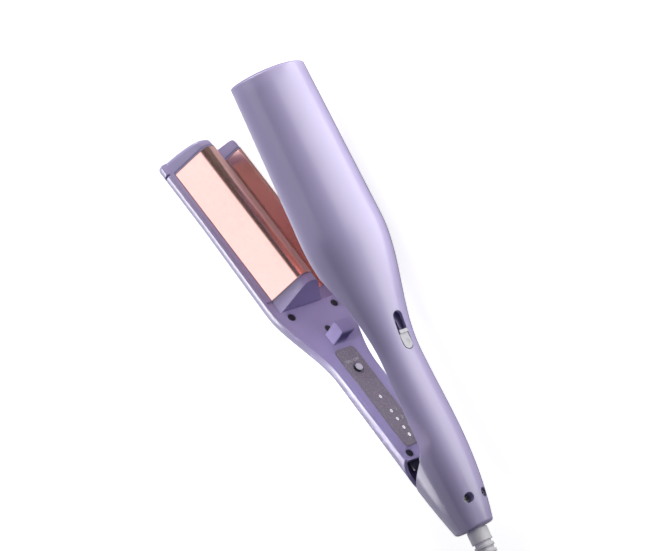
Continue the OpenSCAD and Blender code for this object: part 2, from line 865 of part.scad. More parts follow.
module tip_cap() color(lavender) swung() {
    skin([for (step = cap_insets) cap_ring(step[0], step[1])], strip_ends = true);
}

module control_plate() color(rose_gold) swung() {
    along(plate_s, plate_end_s)
        band(-plate_t, 0);
}

sill_t = 1.6;
sill_play = 0.3;
end_block_from = plate_end_s + fit_gap;
end_block_to = collar_s + 7.8;
end_block_lean = 0.18;

// The section of the room in the control arm's jaw at a station, closed by the wave on top
module jaw_room(wave_shift, s) {
    inset = wall + fit_gap;
    intersection() {
        control_side(wave_shift);
        union() {
            polygon(back_curve(control_a(s) - inset, control_d(s) - inset, 24));
            translate([-far_y, -jaw_a])
                square([far_y + 0.01, jaw_a + plate_edge_z]);
        }
    }
}

// The moulding that holds the control arm's plate: a sill at each side, a lip at its tip
// end and a block behind it, whose rear face leans forward
module control_plate_frame() color(lavender) swung() {
    intersection() {
        sheet(0, sill_t)
            handle_outline(plate_s - 0.9, end_block_from + 0.5, wall + fit_gap);
        block(0, arm_l, -1, far_y, plate_edge_z + sill_play, far_z);
    }
    along(plate_s - 0.9, end_block_from + 0.5)
        intersection() {
            control_side(-plate_t - fit_gap);
            translate([lip_y, -jaw_a])
                square([-lip_y - fit_gap, 4.5]);
        }
    along(plate_s - 0.9, plate_s - 0.1)
        jaw_room(-0.1, plate_s);
    intersection() {
        along(end_block_from, end_block_to)
            jaw_room(-cap_rise, end_block_from);
        sheet(-far_y, far_y)
            handle_outline(end_block_from - 1, end_block_to, wall + fit_gap);
        linear_extrude(2 * far_z, center = true)
            polygon([[arm_l, far_y], [x_at(end_block_to), far_y], [x_at(end_block_to), 0],
                [x_at(end_block_to) + end_block_lean * far_y, -far_y], [arm_l, -far_y]]);
    }
}

control_block_z = [0.5, 9];
control_heater_y = -4;

module control_heat_spreader() color(aluminium) swung() {
    along(spreader_start, spreader_end)
        before_wave(-plate_t - heater_clear, control_block_z[0], control_block_z[1],
            -far_y, control_heater_y);
}

module control_heater() color(ceramic) swung() {
    block(spreader_start + 4, spreader_end - 4, control_heater_y, control_heater_y + ptc_t,
        control_block_z[0] + 0.8, control_block_z[1] - 0.8);
}

module control_heater_clamp() color(ceramic) swung() {
    intersection() {
        along(plate_s + 1, plate_end_s)
            polygon(back_curve(jaw_a - wall - 0.1, jaw_d - wall - 0.1, 24));
        for (s = clamp_stations)
            block(s, s + clamp_l, 0, far_y, control_block_z[0] + 1, control_block_z[1] - 1);
    }
    for (s = clamp_stations)
        block(s, s + clamp_l, control_heater_y + ptc_t, 0.2,
            control_block_z[0] + 1, control_block_z[1] - 1);
}

module temperature_sensor() color(steel) swung() {
    z = (control_block_z[0] + control_block_z[1]) / 2;
    translate([x_at(fuse_s + 6), control_heater_y + ptc_t + 1.5, z])
        rotate([0, 90, 0])
            cylinder(r = 1.5, h = 8);
}

module control_panel() color(taupe) swung() {
    difference() {
        sheet(-panel_proud, panel_t - panel_proud - 0.02)
            panel_outline(0);
        post(button_s, 0, button_hole_r, -far_y, far_y);
        sheet(-far_y, far_y)
            lamp_openings(0);
    }
}

module indicator_windows() color(warm_white) swung() {
    sheet(-panel_proud - 0.1, board_y - 1.5)
        for (s = lamp_stations)
            translate([x_at(s), 0])
                stadium(window_l, window_w);
}

module circuit_board() color(board_green) swung() {
    sheet(board_y, board_y + board_t)
        translate([x_at(panel_mid_s), 0])
            square([panel_l - 6, 2 * handle_a - 14], center = true);
}

module indicator_lamps() color(warm_white) swung() {
    for (s = lamp_stations)
        block(s - 1, s + 1, board_y - 1.2, board_y, -0.8, 0.8);
}

switch_half = 3;
flange_t = 0.6;
flange_y = cover_plate_t + 0.3;
plunger_y = board_y - 1.4;

module button_switch() color(black_plastic) swung() {
    block(button_s - switch_half, button_s + switch_half, plunger_y, board_y,
        -switch_half, switch_half);
}

module power_button() color(black_plastic) swung() {
    stem_end = plunger_y - button_travel - 0.1;
    post(button_s, 0, button_r, -panel_proud - 1.8, flange_y + flange_t);
    post(button_s, 0, button_hole_r + 0.8, flange_y, flange_y + flange_t);
    post(button_s, 0, 1.2, flange_y, stem_end);
}

swing_base_s = [control_end_s - 27, control_end_s - 9];

module swing_bracket() color(steel) swung() {
    base_y = cover_plate_t + 0.02;
    difference() {
        union() {
            block(swing_base_s[0], swing_base_s[1], base_y, base_y + bracket_t, -11.5, 11.5);
            for (side = [-1, 1])
                translate([0, 0, side * (swing_ear_z[0] + swing_ear_z[1]) / 2])
                    linear_extrude(swing_ear_z[1] - swing_ear_z[0], center = true) {
                        translate([hinge_back, 0])
                            circle(ear_r);
                        polygon([
                            [hinge_back, -ear_r], [x_at(swing_base_s[1]) + 3, base_y],
                            [x_at(swing_base_s[1]) + 3, base_y + 5], [hinge_back, ear_r]]);
                    }
        }
        pin_hole(pin_r + pin_play);
        for (p = rear_cover_screws)
            post(p[0], p[1], cover_screw_r + 0.05, 0, far_y);
    }
}

// ---- cord ----

neck_play = 0.3;
flange_x = wall + 0.4;
rib_count = 9;
collar_l = 9;
relief_tip_r = cord_r + 1.1;
rib_gap = 0.9;

function relief_r(t) = collar_r - 0.2 + (relief_tip_r - collar_r + 0.2) * t;

// A collar, a row of ribs that thins towards the cord, and the bore that the cord fills
module strain_relief() color(pale_grey) placed() {
    pitch = (relief_l - collar_l) / rib_count;
    spun(concat(
        [[cord_r, -relief_l], [cord_r, 5], [6.6, 5], [6.6, flange_x]],
        [[swivel_hole_r - neck_play, flange_x], [swivel_hole_r - neck_play, -0.5],
            [collar_r - 0.8, -0.5], [collar_r, -1.3], [collar_r, -collar_l]],
        [for (k = [0:rib_count - 1])
            let (x = -collar_l - k * pitch, r = relief_r((k + 0.5) / rib_count))
            each [[r - rib_gap, x], [r - rib_gap, x - pitch * 0.42], [r, x - pitch * 0.5],
                [r, x - pitch * 0.92], [r - rib_gap, x - pitch]]]));
}

tie_t = 0.8;
coil_wide = 3;
coil_layers = 2;
coil_mean_r = 38;
coil_centre = [-156, 44.5];
tube_sides = 8;

// The cord's way in handset coordinates, as X, Y and height above the ground:
// from the strain relief to the coil, and from the coil to the plug
lead_route = [
    [-46, 0, 29.8], [-54, 0, 29.4], [-62, 0, 28.0], [-70, 0, 25.6], [-78, 0, 22.4],
    [-86, 0, 18.6], [-94, 0, 14.6], [-102, 0, 11.0], [-110, 0, 8.0], [-118, 0, 5.8],
    [-126, 0, 4.4], [-134, 0, 3.8], [-145, 0, 4.0], [-156, 0, 4.05]];
tail_route = [
    [-156, 0, 10.55], [-166, 0, 10.3], [-176, -0.3, 9.5], [-186, -1, 8.4],
    [-196, -1.8, 7.4], [-206, -2.8, 6.85]];

function route_direction(route, i) =
    unit(route[min(i + 1, len(route) - 1)] - route[max(i - 1, 0)]);

// A tube swept along a route
module tube(route, r) {
    skin([for (i = [0:len(route) - 1])
        let (
            ahead = route_direction(route, i),
            side = unit(cross([0, 0, 1], ahead)),
            above = cross(ahead, side)
        )
        [for (k = [0:tube_sides - 1]) let (a = k * 360 / tube_sides)
            route[i] + r * (cos(a) * side + sin(a) * above)]]);
}

module on_ground() translate([handset_place[0], handset_place[1], 0]) children();

module cord() color(pale_grey) on_ground() {
    tube(lead_route, cord_r);
    tube(tail_route, cord_r);
}

coil_w = coil_wide * 2 * cord_r;
coil_h = coil_layers * 2 * cord_r;

module cord_coil() color(pale_grey) on_ground() {
    translate([coil_centre[0], coil_centre[1], tie_t])
        rotate_extrude()
            translate([coil_mean_r - coil_w / 2, 0])
                square([coil_w, coil_h]);
}

tie_l = 12;

module coil_tie() color(black_plastic) on_ground() {
    inner_r = coil_mean_r - coil_w / 2;
    sag = inner_r - sqrt(inner_r * inner_r - tie_l * tie_l / 4);
    translate([coil_centre[0] - tie_l / 2, coil_centre[1] + coil_mean_r, 0])
        rotate([90, 0, 90])
            linear_extrude(tie_l)
                difference() {
                    translate([-coil_w / 2 - sag - tie_t, 0])
                        square([coil_w + sag + 2 * tie_t, coil_h + 2 * tie_t]);
                    translate([-coil_w / 2 - sag, tie_t])
                        square([coil_w + sag, coil_h]);
                }
}

plug_start = tail_route[len(tail_route) - 1];
plug_relief_l = 14;
plug_l = 36;
plug_w = 34;
plug_t = 13.7;
plug_turn = 186;
plug_pin_r = 2;
plug_pin_l = 19;
plug_pin_gap = 19;

module plug_placed() {
    on_ground()
        translate([plug_start[0], plug_start[1], plug_t / 2])
            rotate([0, 0, plug_turn])
                children();
}

module plug() color(pale_grey) plug_placed() {
    rotate([0, 90, 0])
        cylinder(r1 = cord_r + 0.8, r2 = cord_r + 2.2, h = plug_relief_l);
    translate([plug_relief_l, 0, -plug_t / 2])
        linear_extrude(plug_t)
            polygon([[0, -7], [6, -9.5], [plug_l - 8, -plug_w / 2 + 0.5], [plug_l, -plug_w / 2],
                [plug_l, plug_w / 2], [plug_l - 8, plug_w / 2 - 0.5], [6, 9.5], [0, 7]]);
}

module plug_pins() color(steel) plug_placed() {
    for (side = [-1, 1])
        translate([plug_relief_l + plug_l, side * plug_pin_gap / 2, 0])
            rotate([0, 90, 0])
                cylinder(r = plug_pin_r, h = plug_pin_l);
}

barrel_shell();
barrel_plate();
barrel_plate_frame();
barrel_heat_spreader();
barrel_heater();
barrel_heater_clamp();
thermal_fuse();
barrel_inner_cover();
barrel_cover_screws();
lock_track();
rear_cover();
rear_screws();
hinge_bracket();
hinge_pin();
hinge_spring();
lock_knob();
lock_hook();
control_shell();
control_cover();
tip_cap();
control_plate();
control_plate_frame();
control_heat_spreader();
control_heater();
control_heater_clamp();
temperature_sensor();
control_panel();
indicator_windows();
circuit_board();
indicator_lamps();
button_switch();
cover_screws();
swing_bracket();
power_button();
strain_relief();
cord();
cord_coil();
coil_tie();
plug();
plug_pins();
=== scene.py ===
import json
import math

import bmesh
import bpy
from mathutils import Matrix, Vector


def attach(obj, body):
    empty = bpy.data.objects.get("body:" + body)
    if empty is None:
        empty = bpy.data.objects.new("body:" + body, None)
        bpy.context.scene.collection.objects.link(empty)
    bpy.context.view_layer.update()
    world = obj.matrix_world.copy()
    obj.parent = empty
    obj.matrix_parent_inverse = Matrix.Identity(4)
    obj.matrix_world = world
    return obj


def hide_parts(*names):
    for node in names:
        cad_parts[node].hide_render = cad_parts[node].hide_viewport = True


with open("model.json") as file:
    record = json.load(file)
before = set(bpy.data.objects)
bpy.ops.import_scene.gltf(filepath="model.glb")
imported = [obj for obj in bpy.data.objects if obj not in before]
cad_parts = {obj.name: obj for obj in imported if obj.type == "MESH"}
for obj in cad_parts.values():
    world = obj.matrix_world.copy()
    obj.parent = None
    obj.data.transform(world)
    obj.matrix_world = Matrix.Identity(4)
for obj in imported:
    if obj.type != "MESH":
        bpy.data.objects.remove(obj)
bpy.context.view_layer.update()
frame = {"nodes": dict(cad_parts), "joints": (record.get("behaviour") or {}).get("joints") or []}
cad = frame["nodes"]

# ---- Camera ----
# A long lens looks down on the open hair waver from the side of its barrel arm, rolled
# so that the tips of the arms point to the upper left, as in a catalogue picture.
hinge_at = Vector(frame["joints"][0]["pos_m"])
hinge_back = 0.011
handset = hinge_at - Vector((hinge_back, 0, 0))
camera_right = Vector((-0.4256906, -0.5578286, -0.7124709))
camera_up = Vector((0.8950043, -0.3755121, -0.2407447))
camera_back = Vector((-0.1332471, -0.7401473, 0.6591109))
picture_width, focal_length_px, camera_distance = 650, 4390.5576, 2.6
picture_centre = handset + Vector((0.145, 0, 0)) - camera_right * 0.026963 + camera_up * 0.018711

camera = bpy.data.objects.new("camera", bpy.data.cameras.new("camera"))
bpy.context.scene.collection.objects.link(camera)
turn = Matrix((camera_right, camera_up, camera_back)).transposed().to_4x4()
camera.matrix_world = Matrix.Translation(picture_centre + camera_back * camera_distance) @ turn
camera.data.sensor_width = 36
camera.data.lens = focal_length_px * camera.data.sensor_width / picture_width
camera.data.clip_start = 0.1
camera.data.clip_end = 20
bpy.context.scene.camera = camera
bpy.context.scene.view_settings.view_transform = "Standard"


# ---- Cord ----
# A round two-core lead in soft pale plastic leaves the handset through a swivel. Most of
# it is wound into a neat coil, six turns in two layers, that a tie holds together.
def colour(red, green, blue):
    """A colour as a screen shows it, from 0 to 255, turned into the shader's own scale."""
    steps = []
    for value in (red, green, blue):
        value = value / 255
        steps.append(value / 12.92 if value <= 0.04045 else ((value + 0.055) / 1.055) ** 2.4)
    return (*steps, 1.0)


def moulded(name, dark, light, roughness=0.4, grain=900.0, depth=0.05, bevel=0.0, coat=0.0,
            metallic=0.0):
    """A plastic or metal finish: two near tones that drift, with a fine surface grain."""
    finish = bpy.data.materials.new(name)
    finish.use_nodes = True
    nodes, links = finish.node_tree.nodes, finish.node_tree.links
    shader = nodes["Principled BSDF"]
    shader.inputs["Metallic"].default_value = metallic
    shader.inputs["Coat Weight"].default_value = coat
    shader.inputs["Coat Roughness"].default_value = 0.2
    place = nodes.new("ShaderNodeTexCoord")
    drift = nodes.new("ShaderNodeTexNoise")
    drift.inputs["Scale"].default_value = 14.0
    drift.inputs["Detail"].default_value = 3.0
    links.new(place.outputs["Object"], drift.inputs["Vector"])
    tones = nodes.new("ShaderNodeValToRGB")
    tones.color_ramp.elements[0].position = 0.3
    tones.color_ramp.elements[0].color = dark
    tones.color_ramp.elements[1].position = 0.7
    tones.color_ramp.elements[1].color = light
    links.new(drift.outputs["Fac"], tones.inputs["Fac"])
    links.new(tones.outputs["Color"], shader.inputs["Base Color"])
    fine = nodes.new("ShaderNodeTexNoise")
    fine.inputs["Scale"].default_value = grain
    fine.inputs["Detail"].default_value = 2.0
    links.new(place.outputs["Object"], fine.inputs["Vector"])
    sheen = nodes.new("ShaderNodeMapRange")
    sheen.inputs["To Min"].default_value = roughness - 0.05
    sheen.inputs["To Max"].default_value = roughness + 0.05
    links.new(fine.outputs["Fac"], sheen.inputs["Value"])
    links.new(sheen.outputs["Result"], shader.inputs["Roughness"])
    relief = nodes.new("ShaderNodeBump")
    relief.inputs["Strength"].default_value = depth
    relief.inputs["Distance"].default_value = 0.0002
    links.new(fine.outputs["Fac"], relief.inputs["Height"])
    if bevel:
        round_over = nodes.new("ShaderNodeBevel")
        round_over.samples = 6
        round_over.inputs["Radius"].default_value = bevel
        links.new(round_over.outputs["Normal"], relief.inputs["Normal"])
    links.new(relief.outputs["Normal"], shader.inputs["Normal"])
    return finish


def dress(node, finish):
    """Gives a CAD solid its finish, with smooth shading between its sharp edges."""
    piece = cad[node]
    piece.data.materials.clear()
    piece.data.materials.append(finish)
    smooth(piece)


def smooth(piece, angle=32):
    """Smooth shading, with edges kept sharp where two faces meet at more than an angle."""
    for polygon in piece.data.polygons:
        polygon.use_smooth = True
    piece.data.set_sharp_from_angle(angle=math.radians(angle))


cord_r, tie_t = 0.00325, 0.0008
coil_r, coil_turns, lane_change = 0.0445, 6, 0.18
coil_centre = Vector((-0.156, coil_r))
cord_finish = moulded("cord_plastic", colour(206, 201, 216), colour(222, 217, 230), 0.5, 700.0)

lead_route = [
    (-0.040, 0, 0.0298), (-0.046, 0, 0.0298), (-0.054, 0, 0.0294), (-0.062, 0, 0.0280),
    (-0.070, 0, 0.0256), (-0.078, 0, 0.0224), (-0.086, 0, 0.0186), (-0.094, 0, 0.0146),
    (-0.102, 0, 0.0110), (-0.110, 0, 0.0080), (-0.118, 0, 0.0058), (-0.126, 0, 0.0044),
    (-0.134, 0, 0.0038), (-0.145, 0, 0.0040)]
tail_route = [
    (-0.166, 0, 0.0103), (-0.176, -0.0003, 0.0095), (-0.186, -0.0010, 0.0084),
    (-0.196, -0.0018, 0.0074), (-0.206, -0.0028, 0.00685)]


def ease(value):
    """A soft step from 0 to 1."""
    value = max(0.0, min(1.0, value))
    return value * value * (3 - 2 * value)


coil_route = []
turn_steps = 28
for step in range(coil_turns * turn_steps + 1):
    done = step / turn_steps
    layer_turn = done if done < 3 else done - 3
    whole = int(layer_turn)
    move = ease((layer_turn - whole - 1 + lane_change) / lane_change)
    if done < 3:
        lane = min(2, whole + (move if whole < 2 else 0))
        rise = ease((done - 3 + lane_change) / lane_change)
    else:
        lane = max(0, 2 - whole - (move if whole < 2 else 0))
        rise = 1
    radius = coil_r - lane * 2 * cord_r
    angle = math.radians(-90) - done * 2 * math.pi
    coil_route.append((coil_centre.x + radius * math.cos(angle),
                       coil_centre.y + radius * math.sin(angle),
                       tie_t + cord_r * (1 + 2 * rise)))

cord_points = [Vector((handset.x + x, handset.y + y, z))
               for x, y, z in lead_route + coil_route + tail_route]
cord_curve = bpy.data.curves.new("power_cord", "CURVE")
cord_curve.dimensions = "3D"
cord_curve.bevel_depth = cord_r
cord_curve.bevel_resolution = 6
cord_curve.use_fill_caps = True
cord_spline = cord_curve.splines.new("POLY")
cord_spline.points.add(len(cord_points) - 1)
for point, place in zip(cord_spline.points, cord_points):
    point.co = (*place, 1)
cord_spline.use_smooth = True
power_cord = bpy.data.objects.new("power_cord", cord_curve)
bpy.context.scene.collection.objects.link(power_cord)
cord_curve.materials.append(cord_finish)
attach(power_cord, "main_arm")
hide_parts("cord", "cord_coil")

# ---- Plug and coil tie ----
# A moulded round-pin plug ends the lead: soft pale plastic round two nickelled brass pins.
# The tie is a strip of black plastic that goes round the turns of the coil.
dress("plug", moulded("plug_plastic", colour(192, 186, 203), colour(208, 203, 218), 0.45, 600.0,
                      bevel=0.0012))
dress("plug_pins", moulded("nickelled_brass", colour(190, 184, 170), colour(214, 208, 196), 0.25,
                           500.0, metallic=1.0))
dress("coil_tie", moulded("tie_plastic", colour(30, 30, 33), colour(44, 44, 48), 0.5, 400.0,
                          bevel=0.0003))

# ---- Strain relief ----
# A soft ribbed sleeve, moulded in pale plastic over the lead, turns in the rear of the
# handset and keeps the lead from kinking.
dress("strain_relief", moulded("relief_plastic", colour(222, 218, 232), colour(236, 232, 244),
                               0.45, 800.0, bevel=0.0004))


# ---- Barrel arm's shell ----
# The round arm is one moulding in satin lavender plastic, 2.2 mm thick, with screw posts
# inside. It is cut for the wave, the slot of the lock, sunk screws and the cord's swivel.
def lavender_plastic(name, bevel=0.0006):
    """The satin lavender finish that the outer mouldings share."""
    return moulded(name, colour(165, 154, 200), colour(172, 161, 206), 0.38, 1100.0, 0.04,
                   bevel, 0.6)


arm_l = 0.295
shoulder_s, neck_s, grip_s = 0.104, 0.184, 0.236
neck_rim_s, grip_rim_s, grip_rim = (0.124, 0.145), arm_l - 0.055, 0.0048
tip_r, shoulder_r, neck_r, grip_r, rear_r = 0.027, 0.0298, 0.0164, 0.0177, 0.0113
dome_h, rear_round, wall = 0.0045, 0.002, 0.0022
collar_s = 0.112
groove_end_s = collar_s + 0.0095
plate_gap = 0.0006


def barrel_r(s):
    """The radius of the barrel arm at a distance from its tip."""
    if s < shoulder_s:
        return tip_r + (shoulder_r - tip_r) * max(0.0, s) / shoulder_s
    if s < neck_s:
        return shoulder_r - (shoulder_r - neck_r) * ease((s - shoulder_s) / (neck_s - shoulder_s))
    if s < grip_s:
        return neck_r + (grip_r - neck_r) * ease((s - neck_s) / (grip_s - neck_s))
    return grip_r - (grip_r - rear_r) * ((s - grip_s) / (arm_l - grip_s)) ** 2.2


def new_piece(name, points, faces, finish, body):
    """A piece from its points and faces. One without a body is a tool or isn't finished."""
    mesh = bpy.data.meshes.new(name)
    mesh.from_pydata([tuple(p) for p in points], [], faces)
    mesh.validate()
    piece = bpy.data.objects.new(name, mesh)
    bpy.context.scene.collection.objects.link(piece)
    if finish:
        mesh.materials.append(finish)
    if body:
        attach(piece, body)
    return piece


def outward(piece):
    """Turns the faces of a newly built solid outward, before any room is cut in it."""
    work = bmesh.new()
    work.from_mesh(piece.data)
    bmesh.ops.recalc_face_normals(work, faces=work.faces)
    work.to_mesh(piece.data)
    work.free()
    return piece


def turned(name, outline, count=160):
    """A solid of revolution about the arm's axis, from points as (X, radius)."""
    points, faces = [], []
    for x, radius in outline:
        for k in range(count):
            angle = 2 * math.pi * k / count
            points.append((x, radius * math.cos(angle), radius * math.sin(angle)))
    for i in range(len(outline) - 1):
        for k in range(count):
            n = (k + 1) % count
            faces.append((i * count + k, i * count + n, (i + 1) * count + n, (i + 1) * count + k))
    faces.append(tuple(range(count - 1, -1, -1)))
    faces.append(tuple((len(outline) - 1) * count + k for k in range(count)))
    return outward(new_piece(name, points, faces, None, None))


def prism(name, outline, low, high, axis):
    """A straight prism: its outline is in Y, Z along X, in X, Y along Z or in X, Z along Y."""
    order = {"x": lambda p, h: (h, p[0], p[1]), "z": lambda p, h: (p[0], p[1], h),
             "y": lambda p, h: (p[0], h, p[1])}[axis]
    count = len(outline)
    points = [order(p, low) for p in outline] + [order(p, high) for p in outline]
    faces = [tuple(range(count)), tuple(range(2 * count - 1, count - 1, -1))]
    faces += [(k, count + k, count + (k + 1) % count, (k + 1) % count) for k in range(count)]
    return outward(new_piece(name, points, faces, None, None))


def combine(piece, tool, operation="DIFFERENCE"):
    """Joins or cuts a piece by another, then throws the tool away."""
    step = piece.modifiers.new("step", "BOOLEAN")
    step.operation = operation
    step.solver = "EXACT"
    step.object = tool
    graph = bpy.context.evaluated_depsgraph_get()
    done = bpy.data.meshes.new_from_object(piece.evaluated_get(graph))
    piece.modifiers.remove(step)
    old = piece.data
    piece.data = done
    bpy.data.meshes.remove(old)
    bpy.data.objects.remove(tool)


def rod(name, x, z, radius, y_from, y_to, count=48):
    """A round rod along Y."""
    outline = [(x + radius * math.cos(2 * math.pi * k / count),
                z + radius * math.sin(2 * math.pi * k / count)) for k in range(count)]
    return prism(name, outline, y_from, y_to, "y")


def unit(v):
    """A vector's direction, one unit long."""
    return Vector(v).normalized()


crest_w, crest_z, crest_r = 0.0285, 0.0045, 0.008
trough_w, trough_z, trough_r = 0.010, -0.0165, 0.006
jaw_a, jaw_d = 0.0285, 0.0128
lip_y, lip_z = -0.007, -0.026


def rounded_corner(before, corner, after, radius, steps):
    """The arc that rounds a corner of a path in Y, Z."""
    before, corner, after = Vector(before), Vector(corner), Vector(after)
    u, v = unit(before - corner), unit(after - corner)
    half = math.acos(u.dot(v)) / 2
    centre = corner + unit(u + v) * (radius / math.sin(half))
    first = corner + u * (radius / math.tan(half)) - centre
    last = corner + v * (radius / math.tan(half)) - centre
    sense = 1 if first.x * last.y - first.y * last.x > 0 else -1
    sweep = sense * (math.pi - 2 * half)
    points = []
    for k in range(steps + 1):
        a = sweep * k / steps
        points.append(centre + Vector((first.x * math.cos(a) - first.y * math.sin(a),
                                       first.x * math.sin(a) + first.y * math.cos(a))))
    return points


def wave_path(steps=24):
    """The wave that both jaws follow: two straight flanks, a round crest and a round trough."""
    start, crest = (0.001, 0.0228), (-crest_w, crest_z)
    trough, lip = (trough_w, trough_z), (lip_y, lip_z)
    return ([Vector(start)] + rounded_corner(start, crest, trough, crest_r, steps)
            + rounded_corner(crest, trough, lip, trough_r, steps)
            + [Vector(lip), Vector((lip_y - 0.0003, 0.0002 - jaw_a))])


def moved(path, distance):
    """A path moved sideways by a distance."""
    points = []
    for i, point in enumerate(path):
        d = unit(path[min(i + 1, len(path) - 1)] - path[max(i - 1, 0)])
        points.append(point + distance * Vector((d.y, -d.x)))
    return points


def place_closed(piece):
    """Moves a piece drawn in the handset's own measures to where the handset lies."""
    piece.data.transform(Matrix.Translation(handset))


far = 0.06
outer = [(arm_l + dome_h, 0.002)]
outer += [(arm_l + dome_h * math.sin(math.radians(a)), tip_r * math.cos(math.radians(a)))
          for a in (84, 76, 68, 60, 52, 44, 36, 28, 20, 12, 6)]
outer += [(arm_l - s / 1000, barrel_r(s / 1000)) for s in range(0, 104, 8)]
outer += [(arm_l - s / 1000, barrel_r(s / 1000)) for s in range(104, 292, 2)]
tail_r = barrel_r(arm_l - rear_round)
outer += [(rear_round * (1 - math.sin(math.radians(a))),
           tail_r - rear_round * (1 - math.cos(math.radians(a)))) for a in range(0, 91, 15)]
barrel_shell = turned("barrel_arm_shell", outer)


def inside_of_shell(name, inset):
    """What lies inside the barrel arm, an inset further in than its outer face."""
    stations = [0.004 * k for k in range(1, 73)]
    return turned(name, [(arm_l - s, barrel_r(s) - inset) for s in stations]
                  + [(inset, rear_r - inset)])


combine(barrel_shell, inside_of_shell("room", wall))
rear_screw_x, rear_screw_z, rear_screw_seat, rear_post_top = 0.017, 0.00625, -0.009, -0.00702
recess_r, rear_hole_r, rear_post_r = 0.003, 0.0017, 0.004
cover_screw_stations, cover_post_top = (0.1322, 0.226), -0.00682
cover_hole_r, cover_post_r, cover_hole_l = 0.0015, 0.0036, 0.006
posts = [(rear_screw_x, side * rear_screw_z, rear_post_r, rear_post_top) for side in (-1, 1)]
posts += [(arm_l - s, 0.0, cover_post_r, cover_post_top) for s in cover_screw_stations]
for x, z, radius, top in posts:
    post = rod("post", x, z, radius, -far, top)
    combine(post, inside_of_shell("post_room", wall - 0.0002), "INTERSECT")
    combine(barrel_shell, post, "UNION")
groove = moved(wave_path(), plate_gap)
combine(barrel_shell, prism("groove", [(far, far), (-plate_gap, far),
        (-plate_gap, groove[0].y + 0.001)] + [tuple(p) for p in groove]
        + [(groove[-1].x, -far), (far, -far)], arm_l - groove_end_s, arm_l + dome_h + 0.001, "x"))
combine(barrel_shell, prism("rim", [
    (arm_l - groove_end_s + 0.001, far), (arm_l - groove_end_s + 0.001, -plate_gap),
    (arm_l - neck_rim_s[0], -plate_gap), (arm_l - neck_rim_s[1], -grip_rim),
    (arm_l - grip_rim_s, -grip_rim), (arm_l - grip_rim_s - 0.006, 0), (-0.001, 0),
    (-0.001, far)], -far, far, "z"))
slot_l, slot_w = 0.024, 0.0075
slot_x = arm_l - neck_s + slot_l / 2


def stadium(x, length, width, count=20):
    """The outline of a slot with round ends, in X and Z."""
    half = (length - width) / 2
    turns = [math.pi * k / count - math.pi / 2 for k in range(count + 1)]
    return ([(x + half + width / 2 * math.cos(a), width / 2 * math.sin(a)) for a in turns]
            + [(x - half - width / 2 * math.cos(a), -width / 2 * math.sin(a)) for a in turns])


combine(barrel_shell, prism("slot", stadium(slot_x, slot_l, slot_w), -far, 0, "y"))
below_shell = -0.02
for z in (-rear_screw_z, rear_screw_z):
    combine(barrel_shell, rod("recess", rear_screw_x, z, recess_r, below_shell, rear_screw_seat))
    combine(barrel_shell, rod("hole", rear_screw_x, z, rear_hole_r, below_shell,
                              rear_post_top + 0.001))
for s in cover_screw_stations:
    combine(barrel_shell, rod("hole", arm_l - s, 0.0, cover_hole_r,
                              cover_post_top - cover_hole_l, 0.0))
swivel_hole_r = 0.0052
swivel_hole = [(-0.001, swivel_hole_r), (wall + 0.001, swivel_hole_r)]
combine(barrel_shell, turned("swivel_hole", swivel_hole, 48))
barrel_shell.data.materials.clear()
barrel_shell.data.materials.append(lavender_plastic("barrel_lavender"))
place_closed(barrel_shell)
smooth(barrel_shell, 30)
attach(barrel_shell, "main_arm")
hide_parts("barrel_shell")

# ---- Small mouldings in the barrel arm ----
# Frames, covers and the track of the lock are moulded in the same lavender plastic and
# screwed or snapped into the shell.
inner_lavender = lavender_plastic("inner_lavender", 0.0005)
for node in ("barrel_plate_frame", "barrel_inner_cover", "lock_track", "control_plate_frame",
             "control_cover"):
    dress(node, inner_lavender)


# ---- Heated plates ----
# Each plate is an aluminium sheet, 1.2 mm thick, bent into one wave and coated in
# satin rose gold. Its edges are eased.
def coated_metal(name, dark, light):
    """The plates' coating: smooth, and nearly as mirroring as bare metal."""
    return moulded(name, dark, light, 0.24, 500.0, 0.01, metallic=0.95)


plate_s, plate_l, plate_t, barrel_plate_edge_z = 0.007, 0.103, 0.0012, 0.0224
open_angle = math.radians(17.4)
open_turn = (Matrix.Translation(hinge_at) @ Matrix.Rotation(open_angle, 4, "Z")
             @ Matrix.Translation(-hinge_at))


def place_open(piece):
    """Moves a piece drawn with the jaws shut to where the open control arm holds it."""
    piece.data.transform(open_turn @ Matrix.Translation(handset))


def clipped(path, limit):
    """The path between two heights, with its ends cut at them."""
    points = []
    for a, b in zip(path, path[1:]):
        for p in (a, b):
            if abs(p.y) <= limit and (not points or (points[-1] - p).length > 1e-7):
                points.append(p)
        for z in (limit, -limit):
            if (a.y - z) * (b.y - z) < 0:
                points.append(a + (b - a) * ((z - a.y) / (b.y - a.y)))
    return sorted(points, key=lambda p: -p.y)


def bent_sheet(name, near, far_side, s_from, s_to, finish, body):
    """A sheet between two paths in Y, Z, carried along the arm, with its edges eased."""
    outline = near + far_side[::-1]
    ease_r = 0.00025
    rings = [(arm_l - s_to, ease_r), (arm_l - s_to + ease_r, 0),
             (arm_l - s_from - ease_r, 0), (arm_l - s_from, ease_r)]
    middle = [(a + b) / 2 for a, b in zip(near, far_side)]
    points, faces, count = [], [], len(outline)
    for x, inset in rings:
        for k, p in enumerate(outline):
            m = middle[k] if k < len(near) else middle[count - 1 - k]
            step = (m - p).normalized() * inset
            points.append((x, p.x + step.x, p.y + step.y))
    for i in range(len(rings) - 1):
        for k in range(count):
            n = (k + 1) % count
            faces.append((i * count + k, (i + 1) * count + k, (i + 1) * count + n, i * count + n))
    for ring, flip in ((0, False), (len(rings) - 1, True)):
        for k in range(len(near) - 1):
            quad = (ring * count + k, ring * count + k + 1,
                    ring * count + count - 2 - k, ring * count + count - 1 - k)
            faces.append(quad[::-1] if flip else quad)
    return outward(new_piece(name, points, faces, finish, body))


